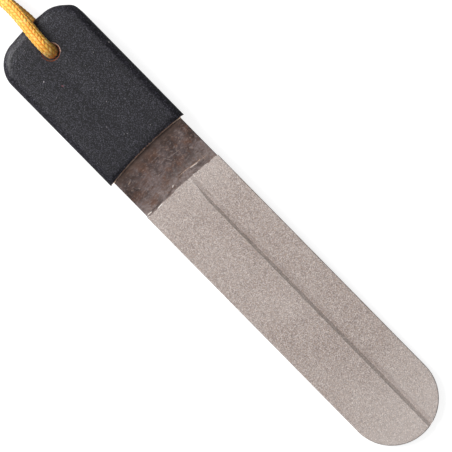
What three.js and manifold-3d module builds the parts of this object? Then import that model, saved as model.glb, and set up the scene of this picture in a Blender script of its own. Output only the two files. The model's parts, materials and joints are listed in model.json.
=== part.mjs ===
// A pocket sharpening whetstone: a flat steel paddle with a diamond-plated working end, a vinyl grip
// and a looped lanyard. Millimetres, +Z up.
//
// The tool is drawn level in its own group, with +X towards the half round tip, +Y towards the side that
// carries the groove and +Z out of the front face. The lanyard's back leg runs under the grip, so the
// group is turned about Y until the tool leans on its tip and on that leg, and both touch Z = 0.

import * as THREE from 'three';
import { ConvexGeometry } from 'three/addons/geometries/ConvexGeometry.js';
import { mergeVertices } from 'three/addons/utils/BufferGeometryUtils.js';
import Module from 'manifold-3d';

// ---------------------------------------------------------------------------------------------
// Driving dimensions, in millimetres

const overallLength = 150;

// Steel blank
const bladeWidth = 24.6;
const bladeThickness = 2.0;

// Diamond plating
const platedLength = 92;
const platingThickness = 0.15;
const platingSlant = 0.95; // how much nearer the tip the plating starts at the +Y edge

// Hook groove in the front face, run out through the tip
const grooveLength = 90.5;
const grooveRunIn = 7;
const grooveOffset = 2.75; // from the middle of the blade towards +Y
const grooveStartWidth = 1.75;
const grooveTipWidth = 2.15;
const grooveStartDepth = 0.65;
const grooveTipDepth = 0.8;

// Bare steel band between the plating and the grip
const bareLength = 12.6;

// Grip
const sleeveWall = 1.0;
const primerThickness = 0.1;
const primerShows = 0.2; // how far the primer reaches out of the grip's mouth
const gripCornerRadius = 8;
const gripEdgeRound = 1.4;
const gripEndCrown = 0.3;
const mouthBow = 0.9;

// Lanyard hole
const holeDiameter = 4.6;
const holeFromEnd = 9.1;
const holeEdgeRound = 0.7;

// Lanyard cord
const cordDiameter = 3.2;
const cordSides = 8;
const strandSteps = 36;
const tailSteps = 4;

// Clearances
const bondGap = 0.05; // between layers that are bonded face to face
const cordGap = 0.3; // between the cord and what it touches

// Fineness of the round shapes
const arcSegments = 28; // on each arc of an outline
const edgeSegments = 12; // on each arc of the grip's rounded outline
const bevelSegments = 5;
const holeSegments = 24;
const flareSegments = 4;

// ---------------------------------------------------------------------------------------------
// Sizes that follow

const coatOffset = bondGap + platingThickness;
const primerOffset = bondGap + primerThickness;
const sleeveOffset = primerOffset + bondGap;
const gripOffset = sleeveOffset + sleeveWall;

const tipX = overallLength / 2;
const endX = -overallLength / 2;
const platingX = tipX - platedLength;
const mouthX = platingX - bareLength;
const holeX = endX + holeFromEnd;

const blankHalfWidth = bladeWidth / 2;
const blankHalfThickness = bladeThickness / 2;
const coatHalfThickness = blankHalfThickness + coatOffset;
const gripHalfThickness = blankHalfThickness + gripOffset;
const reach = overallLength; // far enough for a cutter to pass out of the tool

// ---------------------------------------------------------------------------------------------
// The lanyard's route, chosen by hand, in the frame of the finished part. Each leg starts in the hole.

const frontRoute = [
  [-65.5, 0.1, 5.75],
  [-65.5, 0.1, 6.25],
  [-65.75, 0.05, 7.65],
  [-66.5, 0.0, 8.85],
  [-67.7, -0.1, 9.65],
  [-69.3, -0.1, 9.95],
  [-72.0, 0.1, 9.97],
  [-75.0, 0.42, 9.95],
  [-78.0, 0.72, 9.45],
  [-81.5, 0.85, 8.35],
  [-85.0, 0.6, 6.95],
  [-89.0, 0.0, 5.3],
  [-93.0, -1.15, 3.75],
  [-97.0, -2.75, 2.5],
  [-101.5, -4.6, 1.8],
  [-107.0, -6.5, 1.62],
  [-114.0, -8.1, 1.62],
  [-121.5, -8.3, 1.62],
  [-128.0, -6.9, 1.75],
  [-133.5, -4.7, 2.3],
  [-138.5, -2.6, 3.2],
  [-143.0, -1.75, 3.95],
];

const backRoute = [
  [-65.5, 0.1, 5.45],
  [-65.5, 0.1, 4.95],
  [-65.75, 0.15, 3.65],
  [-66.5, 0.3, 2.5],
  [-67.7, 0.55, 1.8],
  [-69.3, 0.85, 1.62],
  [-72.0, 1.35, 1.62],
  [-75.0, 1.65, 1.62],
  [-79.0, 1.4, 1.62],
  [-83.0, 0.9, 1.62],
  [-87.0, 0.95, 1.62],
  [-91.0, 1.75, 1.62],
  [-95.5, 3.25, 1.62],
  [-100.5, 5.2, 1.62],
  [-106.5, 7.2, 1.62],
  [-113.5, 8.6, 1.62],
  [-121.0, 8.6, 1.62],
  [-127.5, 7.1, 1.75],
  [-133.0, 4.8, 2.3],
  [-138.3, 2.65, 3.2],
  [-143.0, 1.75, 3.95],
];

const frontTailRoute = [
  [-156.2, -2.1, 3.8],
  [-159.0, -2.7, 3.1],
  [-162.5, -3.7, 2.05],
  [-167.0, -5.2, 1.62],
];

const backTailRoute = [
  [-156.2, 1.9, 3.6],
  [-159.0, 2.4, 2.8],
  [-162.0, 3.1, 1.9],
  [-165.5, 4.4, 1.62],
];

// The knot, as the rounded lump that its turns fill
const knotX = -149.6;
const knotLength = 12.6;
const knotWidth = 16.6;
const knotHeight = 10.2;

// ---------------------------------------------------------------------------------------------
// Solids

const manifold = await Module();
manifold.setup();

// Turns a closed three.js geometry into a solid that can be joined and cut.
function solid(geometry) {
  const bare = geometry.clone();
  bare.deleteAttribute('normal');
  bare.deleteAttribute('uv');
  const merged = mergeVertices(bare, 1e-4);
  return new manifold.Manifold(new manifold.Mesh({
    numProp: 3,
    vertProperties: new Float32Array(merged.attributes.position.array),
    triVerts: new Uint32Array(merged.index.array),
  }));
}

// Turns a finished solid back into a three.js geometry.
function geometryOf(body) {
  const mesh = body.getMesh();
  const geometry = new THREE.BufferGeometry();
  geometry.setAttribute('position', new THREE.BufferAttribute(mesh.vertProperties, 3));
  geometry.setIndex(new THREE.BufferAttribute(mesh.triVerts, 1));
  geometry.computeVertexNormals();
  return geometry;
}

// A flat plate of an outline, centred on Z = 0.
function plate(outline, thickness) {
  const geometry = new THREE.ExtrudeGeometry(outline, {
    depth: thickness,
    bevelEnabled: false,
    curveSegments: arcSegments,
  });
  return geometry.translate(0, 0, -thickness / 2);
}

// The blank's outline grown by an offset: square to the tang, round at its corners, half round at the tip.
function paddleOutline(offset) {
  const half = blankHalfWidth + offset;
  const tailX = endX + gripOffset - offset;
  const corner = gripCornerRadius - gripOffset + offset;
  const tipCentreX = tipX - coatOffset - blankHalfWidth;
  const outline = new THREE.Shape();
  outline.moveTo(tipCentreX, -half);
  outline.absarc(tipCentreX, 0, half, -Math.PI / 2, Math.PI / 2, false);
  outline.lineTo(tailX + corner, half);
  outline.absarc(tailX + corner, half - corner, corner, Math.PI / 2, Math.PI, false);
  outline.lineTo(tailX, corner - half);
  outline.absarc(tailX + corner, corner - half, corner, Math.PI, Math.PI * 1.5, false);
  outline.closePath();
  return outline;
}

// The blank grown by an offset on every side, as a solid.
function paddle(offset) {
  return solid(plate(paddleOutline(offset), bladeThickness + 2 * offset));
}

// The V groove's cutter. Its walls lie inside the plated groove's walls by the given offset, measured
// square to the wall, and it rises above the front face so that it cuts right through it.
function grooveCutter(offset) {
  const wallSlope = Math.atan2(2 * grooveTipDepth, grooveTipWidth);
  const drop = offset / Math.cos(wallSlope);
  const runInSlope = grooveStartDepth / grooveRunIn;
  const startSpread = grooveStartWidth / (2 * grooveStartDepth);
  const tipSpread = grooveTipWidth / (2 * grooveTipDepth);
  const startX = tipX - grooveLength;
  const past = 1;
  const top = coatHalfThickness + past;
  const stations = [
    { x: startX - (drop - offset) / runInSlope, bottom: coatHalfThickness - offset, spread: startSpread },
    { x: startX + grooveRunIn, bottom: coatHalfThickness - grooveStartDepth - drop, spread: startSpread },
    { x: tipX + past, bottom: coatHalfThickness - grooveTipDepth - drop, spread: tipSpread },
  ];
  const points = [];
  for (const { x, bottom, spread } of stations) {
    const half = (top - bottom) * spread;
    points.push(new THREE.Vector3(x, grooveOffset, bottom));
    points.push(new THREE.Vector3(x, grooveOffset - half, top));
    points.push(new THREE.Vector3(x, grooveOffset + half, top));
  }
  return solid(new ConvexGeometry(points));
}

// The lanyard hole's cutter: straight through, and flared out by a quarter round at the grip's faces.
function holeCutter() {
  const radius = holeDiameter / 2;
  const past = 1;
  const profile = [new THREE.Vector2(0, -gripHalfThickness - past)];
  const flare = radius + holeEdgeRound;
  const turnZ = gripHalfThickness - holeEdgeRound;
  const quarter = (side) => Array.from({ length: flareSegments + 1 }, (_, i) => {
    const angle = (i / flareSegments) * (Math.PI / 2);
    const radiusThere = flare - holeEdgeRound * Math.cos(angle);
    return new THREE.Vector2(radiusThere, side * (turnZ + holeEdgeRound * Math.sin(angle)));
  });
  profile.push(new THREE.Vector2(flare, -gripHalfThickness - past));
  profile.push(...quarter(-1).reverse());
  profile.push(...quarter(1));
  profile.push(new THREE.Vector2(flare, gripHalfThickness + past));
  profile.push(new THREE.Vector2(0, gripHalfThickness + past));
  const geometry = new THREE.LatheGeometry(profile, holeSegments);
  geometry.rotateX(Math.PI / 2);
  geometry.translate(holeX, 0, 0);
  return solid(geometry);
}

// A block that takes away all of the tool past the grip's bowed mouth.
function beyondMouth(extra) {
  const half = blankHalfWidth + gripOffset;
  const outline = new THREE.Shape();
  const bowRadius = (half * half + mouthBow * mouthBow) / (2 * mouthBow);
  const bowAngle = Math.asin(half / bowRadius);
  const sideX = mouthX + extra;
  const centreX = sideX - mouthBow + bowRadius;
  outline.moveTo(sideX, half);
  outline.absarc(centreX, 0, bowRadius, Math.PI - bowAngle, Math.PI + bowAngle, false);
  outline.lineTo(sideX, -2 * half);
  outline.lineTo(sideX + reach, -2 * half);
  outline.lineTo(sideX + reach, 2 * half);
  outline.lineTo(sideX, 2 * half);
  outline.closePath();
  return solid(plate(outline, 4 * gripHalfThickness));
}

// A block that takes away all of the tool on the grip's side of the plating's start, which is square to
// the blade up to its middle and slants towards the tip from there to the +Y edge.
function beforePlating() {
  const half = blankHalfWidth + coatOffset;
  const outline = new THREE.Shape([
    new THREE.Vector2(platingX, -2 * half),
    new THREE.Vector2(platingX, 0),
    new THREE.Vector2(platingX + 2 * platingSlant, 2 * half),
    new THREE.Vector2(platingX - reach, 2 * half),
    new THREE.Vector2(platingX - reach, -2 * half),
  ]);
  return solid(plate(outline, 4 * coatHalfThickness));
}

// ---------------------------------------------------------------------------------------------
// The tool's pieces

function blankSolid() {
  return paddle(0).subtract(grooveCutter(coatOffset)).subtract(holeCutter());
}

function platingSolid() {
  const outside = paddle(coatOffset).subtract(grooveCutter(0));
  const inside = paddle(bondGap).subtract(grooveCutter(platingThickness));
  return outside.subtract(inside).subtract(beforePlating());
}

function primerSolid() {
  const film = paddle(primerOffset).subtract(paddle(bondGap));
  return film.subtract(beyondMouth(primerShows)).subtract(holeCutter());
}

// The grip's outline, with a slightly crowned closed end. It runs past the mouth, where it is cut off.
function sleeveOutline() {
  const half = blankHalfWidth + gripOffset;
  const radius = gripCornerRadius;
  const shoulderX = endX + gripEndCrown;
  const openX = mouthX + gripEdgeRound;
  const outline = new THREE.Shape();
  outline.moveTo(openX, -half);
  outline.lineTo(openX, half);
  outline.lineTo(shoulderX + radius, half);
  outline.absarc(shoulderX + radius, half - radius, radius, Math.PI / 2, Math.PI, false);
  outline.quadraticCurveTo(endX - gripEndCrown, 0, shoulderX, radius - half);
  outline.absarc(shoulderX + radius, radius - half, radius, Math.PI, Math.PI * 1.5, false);
  outline.closePath();
  return outline;
}

function sleeveSolid() {
  const outer = new THREE.ExtrudeGeometry(sleeveOutline(), {
    depth: 2 * (gripHalfThickness - gripEdgeRound),
    bevelEnabled: true,
    bevelThickness: gripEdgeRound,
    bevelSize: gripEdgeRound,
    bevelOffset: -gripEdgeRound,
    bevelSegments,
    curveSegments: edgeSegments,
  });
  outer.translate(0, 0, gripEdgeRound - gripHalfThickness);
  return solid(outer).subtract(paddle(sleeveOffset)).subtract(beyondMouth(0)).subtract(holeCutter());
}

// ---------------------------------------------------------------------------------------------
// The lanyard's pieces

function cordGeometry(route, steps) {
  const curve = new THREE.CatmullRomCurve3(route.map((point) => new THREE.Vector3(...point)));
  const section = new THREE.Shape(Array.from({ length: cordSides }, (_, i) => {
    const angle = (i / cordSides) * Math.PI * 2;
    return new THREE.Vector2(Math.cos(angle), Math.sin(angle)).multiplyScalar(cordDiameter / 2);
  }));
  return new THREE.ExtrudeGeometry(section, { extrudePath: curve, steps, bevelEnabled: false });
}

function knotGeometry() {
  const lump = new THREE.SphereGeometry(0.5, 20, 12);
  return lump.scale(knotLength, knotWidth, knotHeight).translate(knotX, 0, knotHeight / 2);
}

// ---------------------------------------------------------------------------------------------
// Assembly

function finish(color, roughness, metalness) {
  return new THREE.MeshStandardMaterial({ color, roughness, metalness });
}

function piece(name, geometry, material) {
  const mesh = new THREE.Mesh(geometry, material);
  mesh.name = name;
  return mesh;
}

// How far the tool is turned about Y to lean on its tip and, under the end of the hole, on the cord.
function leanAngle() {
  const run = tipX - (holeX - holeDiameter / 2);
  const rise = cordDiameter + cordGap;
  const step = gripHalfThickness - coatHalfThickness;
  return Math.asin(rise / Math.hypot(run, step)) + Math.atan2(step, run);
}

const tool = new THREE.Group();
tool.add(piece('steel_blank', geometryOf(blankSolid()), finish(0x6b5b56, 0.45, 0.9)));
tool.add(piece('diamond_plating', geometryOf(platingSolid()), finish(0xb3a69f, 0.7, 0.5)));
tool.add(piece('grip_primer', geometryOf(primerSolid()), finish(0xc7a78d, 0.6, 0)));
tool.add(piece('grip_sleeve', geometryOf(sleeveSolid()), finish(0x2b2a2f, 0.65, 0)));

// The tool stands on Z = 0 with its own box centred over the origin.
tool.rotation.y = leanAngle();
tool.updateMatrixWorld(true);
const toolBox = new THREE.Box3().setFromObject(tool, true);
tool.position.set(-(toolBox.min.x + toolBox.max.x) / 2, 0, -toolBox.min.z);

const part = new THREE.Group();
part.add(tool);
part.add(piece('lanyard_front_strand', cordGeometry(frontRoute, strandSteps), finish(0xf0b040, 0.7, 0)));
part.add(piece('lanyard_back_strand', cordGeometry(backRoute, strandSteps), finish(0xf0b040, 0.7, 0)));
part.add(piece('lanyard_knot', knotGeometry(), finish(0xf0b040, 0.7, 0)));
part.add(piece('lanyard_front_tail', cordGeometry(frontTailRoute, tailSteps), finish(0xf0b040, 0.7, 0)));
part.add(piece('lanyard_back_tail', cordGeometry(backTailRoute, tailSteps), finish(0xf0b040, 0.7, 0)));

export default part;
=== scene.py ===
"""A pocket sharpening whetstone: a plated steel paddle with a vinyl grip and a braided lanyard.

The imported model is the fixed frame. Every shape here is drawn in millimetres in the level frame of the
tool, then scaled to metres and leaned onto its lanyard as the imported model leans.
"""

from __future__ import annotations

import json
import logging
import math
from abc import ABC, abstractmethod
from collections.abc import Callable, Sequence
from dataclasses import dataclass, field
from enum import Enum

import bmesh
import bpy
import numpy as np
from mathutils import Matrix, Vector, noise


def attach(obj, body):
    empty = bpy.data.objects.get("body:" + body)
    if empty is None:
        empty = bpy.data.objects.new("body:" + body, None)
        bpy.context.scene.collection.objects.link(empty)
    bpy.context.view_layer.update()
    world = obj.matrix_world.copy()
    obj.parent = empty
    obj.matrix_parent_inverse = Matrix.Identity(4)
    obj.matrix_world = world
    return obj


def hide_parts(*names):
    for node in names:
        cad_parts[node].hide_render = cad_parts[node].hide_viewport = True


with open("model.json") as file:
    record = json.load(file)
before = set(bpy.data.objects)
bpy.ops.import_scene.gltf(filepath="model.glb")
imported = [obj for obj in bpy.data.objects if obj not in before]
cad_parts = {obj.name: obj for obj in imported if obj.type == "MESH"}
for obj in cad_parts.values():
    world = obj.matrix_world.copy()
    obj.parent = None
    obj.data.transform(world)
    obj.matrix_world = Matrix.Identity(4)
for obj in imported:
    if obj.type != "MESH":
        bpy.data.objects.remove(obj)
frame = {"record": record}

MM = 0.001
BODY = "root"
WHITE = (1.0, 1.0, 1.0, 1.0)

Material = bpy.types.Material
Node = bpy.types.Node
Piece = bpy.types.Object
Shape = bmesh.types.BMesh
Socket = bpy.types.NodeSocket
Tone = tuple[float, float, float, float]
Tree = bpy.types.NodeTree

log = logging.getLogger("whetstone")


# ---------------------------------------------------------------------------------------------------
# Frame and mesh helpers


class Slot(Enum):
    """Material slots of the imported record."""

    STEEL = "bare_steel"
    PLATING = "diamond_plating"
    PRIMER = "grip_primer"
    VINYL = "grip_vinyl"
    CORD = "braided_cord"


@dataclass(frozen=True)
class ToolPose:
    """How the level tool stands in the row frame: leaned about Y and lifted.

    Attributes:
        lean: Turn about Y, in radians.
        lift: Height of the tool's middle plane over the origin, in metres.
    """

    lean: float
    lift: float

    @classmethod
    def from_record(cls, coat_half_thickness: float) -> ToolPose:
        """Reads the lean and lift from the mount on the front face.

        Args:
            coat_half_thickness: Distance from the middle plane to the plated face, in millimetres.

        Returns:
            The tool's pose in the row frame.
        """
        mount = next(m for m in frame["record"]["mounts"] if m["name"] == "front_face")
        normal = Vector(mount["axis"])
        height = normal.dot(Vector(mount["pos_m"])) - coat_half_thickness * MM
        return cls(math.atan2(normal.x, normal.z), height / normal.z)

    @property
    def matrix(self) -> Matrix:
        """Matrix from the level tool in millimetres to the row frame in metres."""
        placed = Matrix.Translation((0, 0, self.lift)) @ Matrix.Rotation(self.lean, 4, "Y")
        return placed @ Matrix.Scale(MM, 4)


class Workshop:
    """Turns bmeshes into finished pieces, and cuts one bmesh with another."""

    @staticmethod
    def _temporary(bm: Shape, name: str) -> Piece:
        """Makes an object of a bmesh, for a boolean.

        Args:
            bm: The shape.
            name: Name of the object.

        Returns:
            The object, linked to the scene.
        """
        mesh = bpy.data.meshes.new(name)
        bm.to_mesh(mesh)
        obj = bpy.data.objects.new(name, mesh)
        bpy.context.scene.collection.objects.link(obj)
        return obj

    @classmethod
    def cut(cls, target: Shape, cutter: Shape) -> Shape:
        """Subtracts one closed bmesh from another.

        Args:
            target: The solid that is cut. It is freed.
            cutter: The solid that is taken away. It is freed.

        Returns:
            The remaining solid.
        """
        body, tool = cls._temporary(target, "cut_body"), cls._temporary(cutter, "cut_tool")
        modifier = body.modifiers.new("cut", "BOOLEAN")
        modifier.operation = "DIFFERENCE"
        modifier.solver = "EXACT"
        modifier.object = tool
        result = bmesh.new()
        result.from_object(body, bpy.context.evaluated_depsgraph_get())
        for obj in (body, tool):
            mesh = obj.data
            bpy.data.objects.remove(obj)
            bpy.data.meshes.remove(mesh)
        target.free()
        cutter.free()
        return result

    @staticmethod
    def piece(name: str, bm: Shape, matrix: Matrix, sharp_angle: float = math.radians(30)) -> Piece:
        """Places a bmesh in the row frame and makes it a smooth-shaded object at the origin.

        Args:
            name: Name of the piece.
            bm: The shape. It is freed.
            matrix: From the shape's own frame to the row frame.
            sharp_angle: Edges that bend more than this stay sharp.

        Returns:
            The new object.
        """
        bmesh.ops.remove_doubles(bm, verts=bm.verts, dist=1e-5)
        bmesh.ops.dissolve_degenerate(bm, edges=bm.edges, dist=1e-6)
        bmesh.ops.transform(bm, matrix=matrix, verts=bm.verts)
        for edge in bm.edges:
            edge.smooth = len(edge.link_faces) != 2 or edge.calc_face_angle(0) < sharp_angle
        for face in bm.faces:
            face.smooth = True
        mesh = bpy.data.meshes.new(name)
        bm.to_mesh(mesh)
        bm.free()
        obj = bpy.data.objects.new(name, mesh)
        bpy.context.scene.collection.objects.link(obj)
        return obj

    @staticmethod
    def weight_normals(obj: Piece) -> None:
        """Keeps broad flat faces flat where they meet narrow rounded ones."""
        modifier = obj.modifiers.new("flat_faces", "WEIGHTED_NORMAL")
        modifier.keep_sharp = True

    @staticmethod
    def dress(obj: Piece, material: Material, slot: Slot, replaces: Sequence[str] = ()) -> Piece:
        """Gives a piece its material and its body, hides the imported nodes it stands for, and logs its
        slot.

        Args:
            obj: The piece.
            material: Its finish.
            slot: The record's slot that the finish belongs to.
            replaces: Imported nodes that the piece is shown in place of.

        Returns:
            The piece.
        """
        obj.data.materials.clear()
        obj.data.materials.append(material)
        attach(obj, BODY)
        if replaces:
            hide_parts(*replaces)
        faces = len(obj.data.polygons)
        log.info("piece %s: %d faces, slot %s", obj.name, faces, slot.value)
        return obj


def rim_edges(bm: Shape) -> list[bmesh.types.BMEdge]:
    """Edges between a level face and an upright one, all round a plate.

    Args:
        bm: The plate.

    Returns:
        The edges of both its rims.
    """
    rims = []
    for edge in bm.edges:
        steepness = sorted(abs(face.normal.z) for face in edge.link_faces)
        if len(steepness) == 2 and steepness[0] < 0.5 < steepness[1]:
            rims.append(edge)
    return rims


def round_off(bm: Shape, edges: list[bmesh.types.BMEdge], radius: float, segments: int) -> None:
    """Rounds edges with an arc of so many segments."""
    bmesh.ops.bevel(
        bm, geom=edges, offset=radius, segments=segments, affect="EDGES", profile=0.5, material=-1
    )


def block(low: Sequence[float], high: Sequence[float]) -> Shape:
    """A closed box between two corners.

    Args:
        low: Its lowest corner.
        high: Its highest corner.

    Returns:
        The box.
    """
    bm = bmesh.new()
    bmesh.ops.create_cube(bm, size=1)
    size = [b - a for a, b in zip(low, high)]
    centre = [(a + b) / 2 for a, b in zip(low, high)]
    bmesh.ops.scale(bm, vec=size, verts=bm.verts)
    bmesh.ops.translate(bm, vec=centre, verts=bm.verts)
    return bm


def slice_across(bm: Shape, places: Sequence[float], axis: int) -> None:
    """Cuts new edges through a shape, square to one axis, at each place.

    Args:
        bm: The shape. It is changed in place.
        places: Where the cuts lie along the axis.
        axis: 0, 1 or 2 for X, Y or Z.
    """
    normal = [0.0, 0.0, 0.0]
    normal[axis] = 1.0
    for place in places:
        point = [value * place for value in normal]
        geometry = bm.verts[:] + bm.edges[:] + bm.faces[:]
        bmesh.ops.bisect_plane(bm, geom=geometry, plane_co=point, plane_no=normal)


# ---------------------------------------------------------------------------------------------------
# The tool's sizes and solid shapes


@dataclass(frozen=True)
class ToolSizes:
    """Sizes of the paddle in millimetres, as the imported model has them."""

    length: float = 150.0
    blade_width: float = 24.6
    blade_thickness: float = 2.0
    plating: float = 0.15
    bond_gap: float = 0.05
    plated_length: float = 92.0
    plating_slant: float = 0.95
    bare_length: float = 12.6
    sleeve_gap: float = 0.2
    sleeve_wall: float = 1.0
    grip_corner: float = 8.0
    grip_edge_round: float = 2.1
    grip_end_crown: float = 0.3
    mouth_bow: float = 0.9
    hole_radius: float = 2.3
    hole_from_end: float = 9.1
    hole_round: float = 0.3
    groove_length: float = 90.5
    groove_run_in: float = 7.0
    groove_offset: float = 2.86
    groove_start: tuple[float, float] = (1.75, 0.65)
    groove_tip: tuple[float, float] = (2.15, 0.8)

    @property
    def tip_x(self) -> float:
        """Where the plated tip ends."""
        return self.length / 2

    @property
    def end_x(self) -> float:
        """Where the grip's closed end is."""
        return -self.length / 2

    @property
    def plating_x(self) -> float:
        """Where the plating starts, on the -Y half."""
        return self.tip_x - self.plated_length

    @property
    def mouth_x(self) -> float:
        """Where the grip's mouth meets its sides."""
        return self.plating_x - self.bare_length

    @property
    def grip_half_width(self) -> float:
        """From the middle line to the grip's long edges."""
        return self.blade_width / 2 + self.grip_offset

    @property
    def hole_x(self) -> float:
        """Centre of the lanyard hole."""
        return self.end_x + self.hole_from_end

    @property
    def coat(self) -> float:
        """From the steel to the plated face."""
        return self.bond_gap + self.plating

    @property
    def coat_half(self) -> float:
        """From the middle plane to the plated face."""
        return self.blade_thickness / 2 + self.coat

    @property
    def grip_offset(self) -> float:
        """From the steel to the outside of the grip."""
        return self.sleeve_gap + self.sleeve_wall

    @property
    def grip_half(self) -> float:
        """From the middle plane to the outside of the grip."""
        return self.blade_thickness / 2 + self.grip_offset


@dataclass(frozen=True)
class PaddleShapes:
    """Solids that the blade and the grip are cut from, in the level tool frame."""

    sizes: ToolSizes
    arc_segments: int = 28
    past: float = 1.0
    beside: float = 3.0

    def paddle(self, offset: float, edge_round: float = 0.0, edge_segments: int = 3) -> Shape:
        """The steel's outline grown by an offset, half round at the tip and round at the tail's corners.

        Args:
            offset: How far the shape lies outside the steel.
            edge_round: Radius of the long edges, or zero for sharp ones.
            edge_segments: Segments of each rounded edge.

        Returns:
            A closed solid.
        """
        s = self.sizes
        half = s.blade_width / 2 + offset
        thick = s.blade_thickness / 2 + offset
        tail_x = s.end_x + s.grip_offset - offset
        tip_x = s.tip_x - s.coat + offset
        bm = block((tail_x, -half, -thick), (tip_x, half, thick))
        upright = [e for e in bm.edges if abs(e.verts[0].co.z - e.verts[1].co.z) > thick]
        tips = [e for e in upright if e.verts[0].co.x > 0]
        tails = [e for e in upright if e.verts[0].co.x < 0]
        almost_half = half - 1e-4
        for edges, radius in ((tips, almost_half), (tails, s.grip_corner - s.grip_offset + offset)):
            round_off(bm, edges, radius, self.arc_segments)
        bmesh.ops.remove_doubles(bm, verts=bm.verts, dist=1e-3)
        if edge_round:
            bm.normal_update()
            round_off(bm, rim_edges(bm), edge_round, edge_segments)
        return bm

    def groove(self, offset: float) -> Shape:
        """The V groove's cutter, its walls pushed into the steel by an offset.

        Args:
            offset: Distance from the plated wall, square to it.

        Returns:
            A closed convex solid that rises above the front face.
        """
        s = self.sizes
        start_width, start_depth = s.groove_start
        tip_width, tip_depth = s.groove_tip
        drop = offset / math.cos(math.atan2(2 * tip_depth, tip_width))
        start_x = s.tip_x - s.groove_length
        back = (drop - offset) * s.groove_run_in / start_depth
        top = s.coat_half + self.past
        stations = (
            (start_x - back, s.coat_half - offset, start_width / (2 * start_depth)),
            (start_x + s.groove_run_in, s.coat_half - start_depth - drop, start_width / (2 * start_depth)),
            (s.tip_x + self.past, s.coat_half - tip_depth - drop, tip_width / (2 * tip_depth)),
        )
        bm = bmesh.new()
        for x, bottom, spread in stations:
            half = (top - bottom) * spread
            bm.verts.new((x, s.groove_offset, bottom))
            bm.verts.new((x, s.groove_offset - half, top))
            bm.verts.new((x, s.groove_offset + half, top))
        bmesh.ops.convex_hull(bm, input=bm.verts[:])
        bmesh.ops.recalc_face_normals(bm, faces=bm.faces)
        return bm

    def hole(self, segments: int = 64, round_segments: int = 6) -> Shape:
        """The lanyard hole's cutter, flared out by a quarter round at the grip's faces.

        Args:
            segments: Segments round the hole.
            round_segments: Segments of each flare.

        Returns:
            A closed solid of revolution.
        """
        s = self.sizes
        flare = s.hole_radius + s.hole_round
        turn_z = s.grip_half - s.hole_round
        end_z = s.grip_half + self.past
        bm = bmesh.new()
        quarter = [
            (flare - s.hole_round * math.cos(a), turn_z + s.hole_round * math.sin(a))
            for a in np.linspace(0, math.pi / 2, round_segments + 1)
        ]
        flared = [point for point in quarter if point[0] > s.hole_radius + 1e-6]
        upper = [(s.hole_radius, turn_z), *flared, (flare, end_z), (0, end_z)]
        profile = [(r, -z) for r, z in reversed(upper)] + upper
        verts = [bm.verts.new((s.hole_x + r, 0, z)) for r, z in profile]
        edges = [bm.edges.new(pair) for pair in zip(verts, verts[1:])]
        bmesh.ops.spin(
            bm,
            geom=verts + edges,
            cent=(s.hole_x, 0, 0),
            axis=(0, 0, 1),
            angle=2 * math.pi,
            steps=segments,
            use_merge=True,
        )
        bmesh.ops.remove_doubles(bm, verts=bm.verts, dist=1e-4)
        bmesh.ops.recalc_face_normals(bm, faces=bm.faces)
        return bm

    def beyond(
        self, near_x: float, far_x: float, shift: Callable[[float], float], strip: float, half_height: float
    ) -> Shape:
        """A block that ends in a wavy face: it runs from a shifted near end to a far end.

        Args:
            near_x: Where the wavy face is before it is shifted.
            far_x: The other end.
            shift: How far the face is moved along X at each Y.
            strip: Width of its strips across the blade.
            half_height: Half its height.

        Returns:
            A closed solid wider than the tool.
        """
        half = self.sizes.blade_width / 2 + self.beside
        low_x, high_x = sorted((near_x, far_x))
        bm = block((low_x, -half, -half_height), (high_x, half, half_height))
        count = int(2 * half / strip)
        slice_across(bm, [-half + strip * i for i in range(1, count)], axis=1)
        for vert in bm.verts:
            if abs(vert.co.x - near_x) < 1e-4:
                vert.co.x += shift(vert.co.y)
        return bm


# ---------------------------------------------------------------------------------------------------
# Shader nodes


def shade(red: int, green: int, blue: int) -> Tone:
    """A linear colour from a display colour of 0 to 255 a channel.

    Args:
        red: The red channel.
        green: The green channel.
        blue: The blue channel.

    Returns:
        The colour, opaque.
    """
    channels = []
    for value in (red, green, blue):
        x = value / 255
        channels.append(x / 12.92 if x <= 0.04045 else ((x + 0.055) / 1.055) ** 2.4)
    return (*channels, 1.0)


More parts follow.
